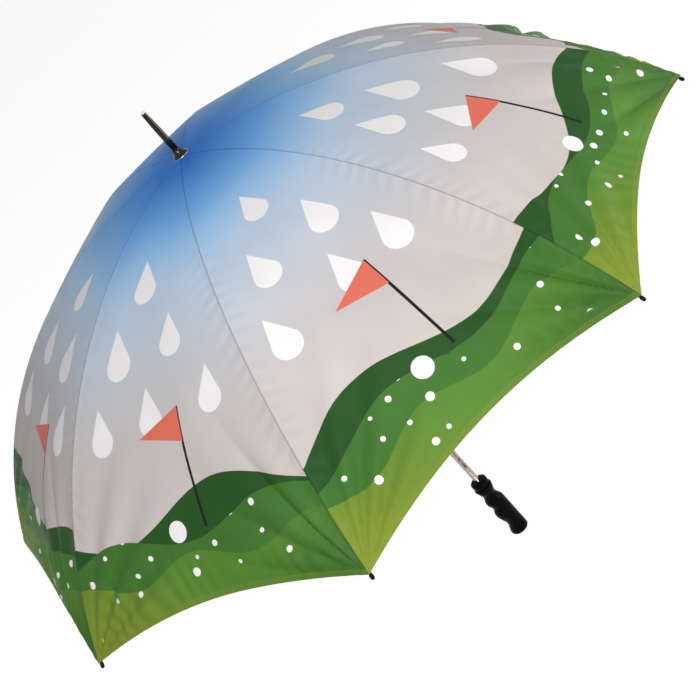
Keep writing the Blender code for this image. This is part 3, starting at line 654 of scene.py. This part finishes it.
def sew_sheet(name, rib, cloth, cuts, edges, ease, lap):
    """One sheet over a rib, from the middle of one panel to the middle of the next.

    edges give the reach of its upper and lower edge, ease crowds its rows towards the lower one, and lap is
    the overlap at its upper edge, 0 on an inner sheet, which laps its neighbour near the crown instead.
    """
    even_share, seam_crowding, crown_widening, facing_width = 0.45, 1.8, 0.96, 0.02
    bpy.ops.object.select_all(action="DESELECT")
    bpy.ops.mesh.primitive_grid_add(x_subdivisions=cuts[0], y_subdivisions=cuts[1], size=2, calc_uvs=False)
    sheet = name_piece(bpy.context.object, name)
    mesh = sheet.data
    grid = np.empty(3 * len(mesh.vertices))
    mesh.vertices.foreach_get("co", grid)
    grid = grid.reshape(-1, 3)
    turn = np.where(np.abs(grid[:, 0]) < 1e-6, 0.0, -grid[:, 0])
    swing = np.abs(turn)
    stretch = np.sign(turn) * (even_share * swing + (1 - even_share) * swing ** seam_crowding)
    ahead = turn >= 0
    across = np.where(ahead, stretch / 2, 1 + stretch / 2)
    panel = np.where(ahead, rib, (rib - 1) % RIB_COUNT)
    bow = bow_at(across)
    share = 1 - (1 - np.clip((grid[:, 1] + 1) / 2, 0, 1)) ** ease
    low, high = [edge(cloth, bow) for edge in edges]
    reach = low + (high - low) * share
    if not lap:
        widen = 1 + crown_widening * smoothstep(reach, cloth.crown_lap, cloth.crown_full)
        across = across * np.where(ahead, widen, 1)
        bow = bow_at(across)
    out, height, slope = seam_line(cloth, reach)
    chord = 2 * out * math.sin(RIB_STEP / 2)
    seam = chord * np.minimum(across, 1 - across)
    hem = hemline(cloth, bow) - reach
    middle = chord * (across - 0.5)
    lift = cloth.panel_rise * np.maximum(reach, 0) / cloth.rib_length * bow
    lift = lift + seam_relief(cloth, panel, reach, seam) + hem_relief(cloth, panel, seam, hem, middle)
    lift = lift + tip_folds(cloth, panel, across, reach, seam, hem)
    lift = lift - tuck_depth(cloth, lap, ahead, across, reach, bow)
    first = panel * RIB_STEP
    last = first + RIB_STEP
    near = np.where(ahead, first, last)
    facing = near + (first + RIB_STEP / 2 - near) * smoothstep(seam, 0.0, facing_width)
    aside = lift * np.sin(slope)
    x = out * (np.cos(first) * (1 - across) + np.cos(last) * across) + aside * np.cos(facing)
    y = out * (np.sin(first) * (1 - across) + np.sin(last) * across) + aside * np.sin(facing)
    points = np.stack([x, y, height + lift * np.cos(slope)], axis=1)
    mesh.vertices.foreach_set("co", points.ravel())
    write_maps(mesh, rib, turn, chord, middle, reach, seam, hem)
    mesh.update()
    return sheet


def thicken(sheet, cloth, face, lining):
    """Gives the sheet its thickness inwards, with the lining on its inner face."""
    sheet.data.materials.append(face)
    sheet.data.materials.append(lining)
    pick(sheet)
    bpy.ops.object.modifier_add(type="SOLIDIFY")
    wall = sheet.modifiers[-1]
    wall.thickness = cloth.thickness
    wall.offset = -1.0
    wall.material_offset = 1
    bpy.ops.object.modifier_apply(modifier=wall.name)
    bpy.ops.object.shade_smooth_by_angle(angle=SMOOTH_ANGLE)


class UMBRELLA_OT_canopy(bpy.types.Operator):
    """Sews the canopy: an inner and an outer sheet over each rib, the inner one carried by the rib and the
    outer one by the rib's end
    """
    bl_idname = "umbrella.canopy"
    bl_label = "Canopy"

    def execute(self, context):
        cloth = context.scene.umbrella_canopy
        inks = context.scene.umbrella_print
        face = cloth_material("canopy_print", cloth, inks, fade=0.0)
        lining = cloth_material("canopy_lining", cloth, inks, fade=0.50)
        mean_bow = 2 / 3
        hole = crown_edge(cloth, mean_bow)
        split = parting(cloth, mean_bow)
        hem = hemline(cloth, mean_bow)
        for rib in range(RIB_COUNT):
            number = rib + 1
            inner = sew_sheet(f"canopy_inner_{number}", rib, cloth, cuts=(96, 72),
                              edges=(crown_edge, parting), ease=1.0, lap=0.0)
            outer = sew_sheet(f"canopy_outer_{number}", rib, cloth, cuts=(128, 96),
                              edges=(lapped_edge, hemline), ease=1.4, lap=cloth.lap)
            pieces = ((inner, f"rib_{number}", f"rib_{number}_inner", cloth.inner_keep, hole, split),
                      (outer, f"rib_{number}_end", f"rib_{number}_outer", cloth.outer_keep, split, hem))
            for sheet, body, rest, keep, low, high in pieces:
                thicken(sheet, cloth, face, lining)
                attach(sheet, body)
                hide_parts(f"canopy_gore_{number}")
                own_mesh(sheet)
        return {"FINISHED"}


# The handle and the ferrule
def arc(centre, radius, start, end, steps):
    """Stations on an arc about (radius, height), angles in degrees from straight out."""
    turns = [math.radians(start + (end - start) * i / steps) for i in range(steps + 1)]
    return [(centre[0] + radius * math.cos(t), centre[1] + radius * math.sin(t)) for t in turns]


def turn_piece(name, stations, material):
    """A turned piece: a disc at the first (radius, height) station, extruded through the others."""
    bpy.ops.object.select_all(action="DESELECT")
    radius, height = stations[0]
    bpy.ops.mesh.primitive_circle_add(vertices=TURNED_SIDES, radius=radius, fill_type="NGON",
                                      location=(0, 0, height))
    piece = name_piece(bpy.context.object, name)
    bpy.ops.object.transform_apply(location=True, rotation=True, scale=True)
    bpy.ops.object.mode_set(mode="EDIT")
    bpy.ops.mesh.select_all(action="SELECT")
    for next_radius, next_height in stations[1:]:
        bpy.ops.mesh.extrude_region_move(TRANSFORM_OT_translate={"value": (0, 0, next_height - height)})
        grow = next_radius / radius
        bpy.ops.transform.resize(value=(grow, grow, 1), center_override=(0, 0, next_height))
        radius, height = next_radius, next_height
    bpy.ops.mesh.select_all(action="SELECT")
    bpy.ops.mesh.normals_make_consistent(inside=False)
    bpy.ops.object.mode_set(mode="OBJECT")
    bpy.ops.object.shade_smooth_by_angle(angle=SMOOTH_ANGLE)
    piece.data.materials.append(material)
    return piece


def stand_in(piece, body, slot, *nodes):
    """Puts a finished piece in the place of its CAD nodes."""
    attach(piece, body)
    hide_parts(*nodes)


def eased(stations, level):
    """Radius at a height, eased between (height, radius) stations."""
    if level <= stations[0][0]:
        return stations[0][1]
    for (low, start), (high, end) in zip(stations, stations[1:]):
        if level <= high:
            share = (level - low) / (high - low)
            return start + (end - start) * (1 - math.cos(math.pi * share)) / 2
    return stations[-1][1]


# Heights above the grip's end and radii there, at the finger side and at the palm side
FINGER_SIDE = [(0.005, 0.0156), (0.024, 0.0108), (0.050, 0.0164), (0.064, 0.0123), (0.078, 0.0155),
               (0.093, 0.0117), (0.105, 0.0146)]
PALM_SIDE = [(0.005, 0.0160), (0.073, 0.0163), (0.091, 0.0111), (0.105, 0.0146)]


def make_grip(sizes, material):
    """The grip: a ringed cylinder drawn in to the finger grooves and the thumb hollow."""
    rings, foot_crowding = 84, 1.25
    foot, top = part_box("handle_grip")[0][2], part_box("handle_grip")[1][2]
    bpy.ops.object.select_all(action="DESELECT")
    bpy.ops.mesh.primitive_cylinder_add(vertices=TURNED_SIDES, radius=sizes.foot_radius, depth=1.0,
                                        location=(0, 0, 0.5))
    grip = name_piece(bpy.context.object, "grip_moulding")
    bpy.ops.object.transform_apply(location=True, rotation=True, scale=True)
    bpy.ops.object.mode_set(mode="EDIT")
    bpy.ops.mesh.select_mode(type="EDGE")
    bpy.ops.mesh.select_all(action="DESELECT")
    bpy.ops.object.mode_set(mode="OBJECT")
    for edge in grip.data.edges:
        ends = [grip.data.vertices[v].co.z for v in edge.vertices]
        edge.select = abs(ends[0] - ends[1]) > 0.5
    bpy.ops.object.mode_set(mode="EDIT")
    bpy.ops.mesh.subdivide(number_cuts=rings)
    bpy.ops.object.mode_set(mode="OBJECT")
    for vert in grip.data.vertices:
        level = (top - foot) * vert.co.z ** foot_crowding
        turn = math.atan2(vert.co.y, vert.co.x)
        finger = (1 + math.cos(turn - sizes.grip_side)) / 2
        radius = eased(FINGER_SIDE, level) * finger + eased(PALM_SIDE, level) * (1 - finger)
        fall = max(0.0, 1 - level / sizes.end_round)
        radius = sizes.foot_radius + (radius - sizes.foot_radius) * math.sqrt(1 - fall ** 2)
        vert.co = (radius * math.cos(turn), radius * math.sin(turn), foot + level)
    bpy.ops.object.shade_smooth_by_angle(angle=SMOOTH_ANGLE)
    grip.data.materials.append(material)
    return grip


class UMBRELLA_OT_handle(bpy.types.Operator):
    """Makes the moulded grip, its collar and the cap round the shaft"""
    bl_idname = "umbrella.handle"
    bl_label = "Handle"

    def execute(self, context):
        sizes = context.scene.umbrella_handle
        black = moulding_material("grip_black", (0.034, 0.022, 0.017), roughness=0.36, gloss=0.045)
        stand_in(make_grip(sizes, black), "shaft_frame", "black_moulding", "handle_grip")
        clearance, steps = 0.0003, 8
        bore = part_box("shaft")[1][0] + clearance
        for part in ("collar", "cap"):
            low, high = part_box(f"handle_{part}")
            radius, base, top = high[0], low[2], high[2]
            bend = min(sizes.edge_round, (top - base) / 2)
            heel = arc((radius - bend, base + bend), bend, -90, 0, steps)
            rim = arc((radius - bend, top - bend), bend, 0, 90, steps)
            dish = [(bore + clearance, top), (bore, top - clearance)]
            piece = turn_piece(f"grip_{part}", heel + rim + dish, black)
            stand_in(piece, "shaft_frame", "black_moulding", f"handle_{part}")
        return {"FINISHED"}


def paint_highlight(piece, material, shown):
    """Gives a second material, a brighter copy of the metal as a painted highlight, to the faces whose
    height passes a test.
    """
    piece.data.materials.append(material)
    for face in piece.data.polygons:
        face.material_index = int(shown(face.center.z))


def make_spike(sizes, chrome, highlight_chrome):
    """The ferrule: a rod that tapers to a rounded end, which carries a painted highlight in a brighter copy
    of the metal.
    """
    sunk, lead, end_round, steps, taper_curve = 0.004, 0.006, 0.002, 12, 1.4
    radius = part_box("ferrule")[1][0]
    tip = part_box("ferrule")[1][2]
    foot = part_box("ferrule_cup")[1][2] - sunk
    start = tip - sizes.ferrule_taper - lead
    end = tip - end_round
    stations = [(radius, foot), (radius, start)]
    for i in range(1, steps + 1):
        share = i / steps
        stations.append((radius + (sizes.ferrule_tip - radius) * share ** taper_curve,
                         start + (end - start) * share))
    stations += arc((sizes.ferrule_tip - end_round, end), end_round, start=8, end=88, steps=7)
    spike = turn_piece("ferrule_spike", stations, chrome)
    # Painted highlight: the rounded end in the brighter copy of the metal.
    paint_highlight(spike, highlight_chrome, lambda height: height > end)
    return spike


def make_cup(sizes, chrome, highlight_chrome):
    """The flared cup under the ferrule, with a painted highlight on its rim in a brighter copy of the
    metal.
    """
    rim_edge = ((0.0010, 0.0), (0.0003, 0.0002), (0.0, 0.0006))
    rim_step, rim_inset, steps = 0.0004, 0.0002, 20
    lip_inset, lip_rise, clearance = 0.0004, 0.0001, 0.0001
    low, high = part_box("ferrule_cup")
    wide, floor, top = high[0], low[2], high[2]
    rim = floor + sizes.cup_rim
    stations = [(wide - inset, floor + rise) for inset, rise in rim_edge]
    stations.append((wide, rim - rim_step))
    for i in range(steps + 1):
        share = 1 - i / steps
        stations.append((sizes.cup_neck + (wide - rim_inset - sizes.cup_neck) * share ** 2,
                         rim + (top - rim) * (1 - share)))
    stations.append((sizes.cup_neck - lip_inset, top + lip_rise))
    stations.append((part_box("ferrule")[1][0] + clearance, top))
    cup = turn_piece("ferrule_flare", stations, chrome)
    # Painted highlight: the rim under the flare in the brighter copy of the metal.
    paint_highlight(cup, highlight_chrome, lambda height: height < rim)
    return cup


class UMBRELLA_OT_ferrule(bpy.types.Operator):
    """Makes the polished ferrule and the flared cup that clamps the crown"""
    bl_idname = "umbrella.ferrule"
    bl_label = "Ferrule"

    def execute(self, context):
        sizes = context.scene.umbrella_handle
        chrome = metal_material("ferrule_black_chrome", (0.20, 0.178, 0.165), roughness=0.06, grain=30.0)
        # Painted highlight: a brighter copy of the chrome, laid on the spike's end and the cup's rim.
        highlight_chrome = metal_material("painted_highlight_chrome", (0.80, 0.78, 0.76), roughness=0.08, grain=30.0)
        stand_in(make_spike(sizes, chrome, highlight_chrome), "shaft_frame", "ferrule_black_chrome", "ferrule")
        stand_in(make_cup(sizes, chrome, highlight_chrome), "shaft_frame", "ferrule_black_chrome", "ferrule_cup")
        return {"FINISHED"}


# The folding frame keeps its CAD shapes, merged and smoothed, in these finishes
def frame_finishes():
    """A word in the CAD nodes' names, with the material slot and the material of those nodes."""
    steel = metal_material("rib_steel", (0.62, 0.62, 0.64), roughness=0.32, grain=20.0)
    spring = metal_material("spring_steel", (0.52, 0.53, 0.56), roughness=0.30, grain=20.0)
    chrome = metal_material("shaft_chrome", (0.66, 0.60, 0.56), roughness=0.16, grain=12.0)
    tip = moulding_material("tip_black", (0.035, 0.031, 0.030), roughness=0.34, gloss=0.08)
    fibreglass = moulding_material("rib_fibreglass", (0.13, 0.13, 0.13), roughness=0.34)
    washer = moulding_material("crown_washer", (0.16, 0.16, 0.17), roughness=0.62)
    notch = moulding_material("notch_black", (0.12, 0.115, 0.115), roughness=0.42)
    runner = moulding_material("runner_black", (0.12, 0.115, 0.115), roughness=0.42)
    return [
        ("_tip", "black_moulding", tip),
        ("_outer", "fibreglass", fibreglass),
        ("_inner", "frame_steel", steel),
        ("stretcher", "frame_steel", steel),
        ("wire", "frame_steel", steel),
        ("pin", "frame_steel", steel),
        ("spring", "spring_steel", spring),
        ("shaft", "shaft_chrome", chrome),
        ("washer", "crown_washer", washer),
        ("notch", "black_moulding", notch),
        ("runner", "black_moulding", runner),
    ]


class UMBRELLA_OT_frame(bpy.types.Operator):
    """Smooths the ribs, stretchers, hubs, shaft and catches and gives them their finishes"""
    bl_idname = "umbrella.frame"
    bl_label = "Folding frame"

    def execute(self, context):
        finishes = frame_finishes()
        shown = [name for name, cad in frame["nodes"].items() if not cad.hide_render]
        for name in sorted(shown):
            found = [(slot, material) for word, slot, material in finishes if word in name]
            if not found:
                raise RuntimeError(f"no finish for {name}")
            slot, material = found[0]
            cad = frame["nodes"][name]
            mesh = cad.data.copy()
            piece = bpy.data.objects.new(f"{name}_finished", mesh)
            context.collection.objects.link(piece)
            pick(piece)
            bpy.ops.object.mode_set(mode="EDIT")
            bpy.ops.mesh.select_all(action="SELECT")
            bpy.ops.mesh.remove_doubles(threshold=1e-6)
            bpy.ops.object.mode_set(mode="OBJECT")
            bpy.ops.object.shade_smooth_by_angle(angle=SMOOTH_ANGLE)
            mesh.materials.clear()
            mesh.materials.append(material)
            stand_in(piece, body_of(cad)[0], slot, name)
        return {"FINISHED"}


# The stage
def camera_flag(tree):
    """1 for what the camera sees, straight, in metal or through glass."""
    path = node(tree, "LightPath").outputs
    seen = calc(tree, "MAXIMUM", path["Is Camera Ray"], path["Is Glossy Ray"])
    return calc(tree, "MAXIMUM", seen, path["Is Transmission Ray"])


def lay_floor(settings):
    """The pale floor, just under the grip's end."""
    side, drop = 40, 0.0005
    bpy.ops.object.select_all(action="DESELECT")
    bpy.ops.mesh.primitive_plane_add(size=side, location=(0, 0, -drop))
    floor = name_piece(bpy.context.object, "studio_floor")
    made, tree, shader = new_material("floor_paper")
    glow = calc(tree, "MULTIPLY", camera_flag(tree), settings.floor_glow)
    fill(tree, shader, {"Base Color": linear(settings.floor), "Roughness": 0.9, "Specular IOR Level": 0.1,
                        "Emission Color": WHITE, "Emission Strength": glow})
    floor.data.materials.append(made)


def light_world(settings):
    """An even white surround, full white where the camera sees it."""
    world = bpy.data.worlds.new("studio")
    world.use_nodes = True
    tree = world.node_tree
    level = calc(tree, "MULTIPLY_ADD", camera_flag(tree), 1 - settings.sky_light, settings.sky_light)
    fill(tree, tree.nodes["Background"], {"Color": WHITE, "Strength": level})
    bpy.context.scene.world = world


def add_lamp(name, place, target, size, power):
    """A square soft box aimed at a point."""
    bpy.ops.object.light_add(type="AREA", location=place)
    lamp = bpy.context.object
    lamp.name = name
    lamp.data.size = size
    lamp.data.energy = power
    lamp.rotation_euler = (Vector(target) - Vector(place)).to_track_quat("-Z", "Y").to_euler()


class UMBRELLA_OT_stage(bpy.types.Operator):
    """Sets the pale floor, the soft lamps and the camera"""
    bl_idname = "umbrella.stage"
    bl_label = "Stage"

    def execute(self, context):
        settings = context.scene.umbrella_stage
        lay_floor(settings)
        light_world(settings)
        add_lamp("key_lamp", settings.key_place, settings.aim, settings.key_size, settings.key_power)
        add_lamp("fill_lamp", settings.fill_place, settings.aim, settings.fill_size, settings.fill_power)
        bpy.ops.object.camera_add(location=settings.camera_place, rotation=settings.camera_turn)
        camera = bpy.context.object
        camera.data.lens = settings.lens
        camera.data.sensor_width = 36.0
        context.scene.camera = camera
        context.scene.view_settings.view_transform = "Standard"
        return {"FINISHED"}


class UMBRELLA_PT_panel(bpy.types.Panel):
    """Shows the umbrella's settings and the buttons that make its pieces in the sidebar"""
    bl_label = "Golf umbrella"
    bl_idname = "UMBRELLA_PT_panel"
    bl_space_type = "VIEW_3D"
    bl_region_type = "UI"
    bl_category = "Umbrella"

    def draw(self, context):
        for group in GROUPS:
            settings = getattr(context.scene, group)
            for name in settings.bl_rna.properties.keys():
                if name not in ("rna_type", "name"):
                    self.layout.prop(settings, name)
        for operator in OPERATORS:
            self.layout.operator(operator.bl_idname)


GROUPS = {"umbrella_canopy": CanopySizes, "umbrella_print": PrintColours, "umbrella_handle": HandleSizes,
          "umbrella_stage": StageSettings}
OPERATORS = (UMBRELLA_OT_canopy, UMBRELLA_OT_handle, UMBRELLA_OT_ferrule, UMBRELLA_OT_frame,
             UMBRELLA_OT_stage)
CLASSES = (*GROUPS.values(), *OPERATORS, UMBRELLA_PT_panel)


def register():
    """Registers the classes and puts the settings on the scene."""
    for registered in CLASSES:
        bpy.utils.register_class(registered)
    for name, group in GROUPS.items():
        setattr(bpy.types.Scene, name, PointerProperty(type=group))


def unregister():
    """Takes the settings and the classes away again."""
    for name in GROUPS:
        delattr(bpy.types.Scene, name)
    for registered in reversed(CLASSES):
        bpy.utils.unregister_class(registered)


def main():
    register()
    bpy.ops.umbrella.canopy()
    bpy.ops.umbrella.handle()
    bpy.ops.umbrella.ferrule()
    bpy.ops.umbrella.frame()
    bpy.ops.umbrella.stage()


if __name__ == "__main__":
    main()
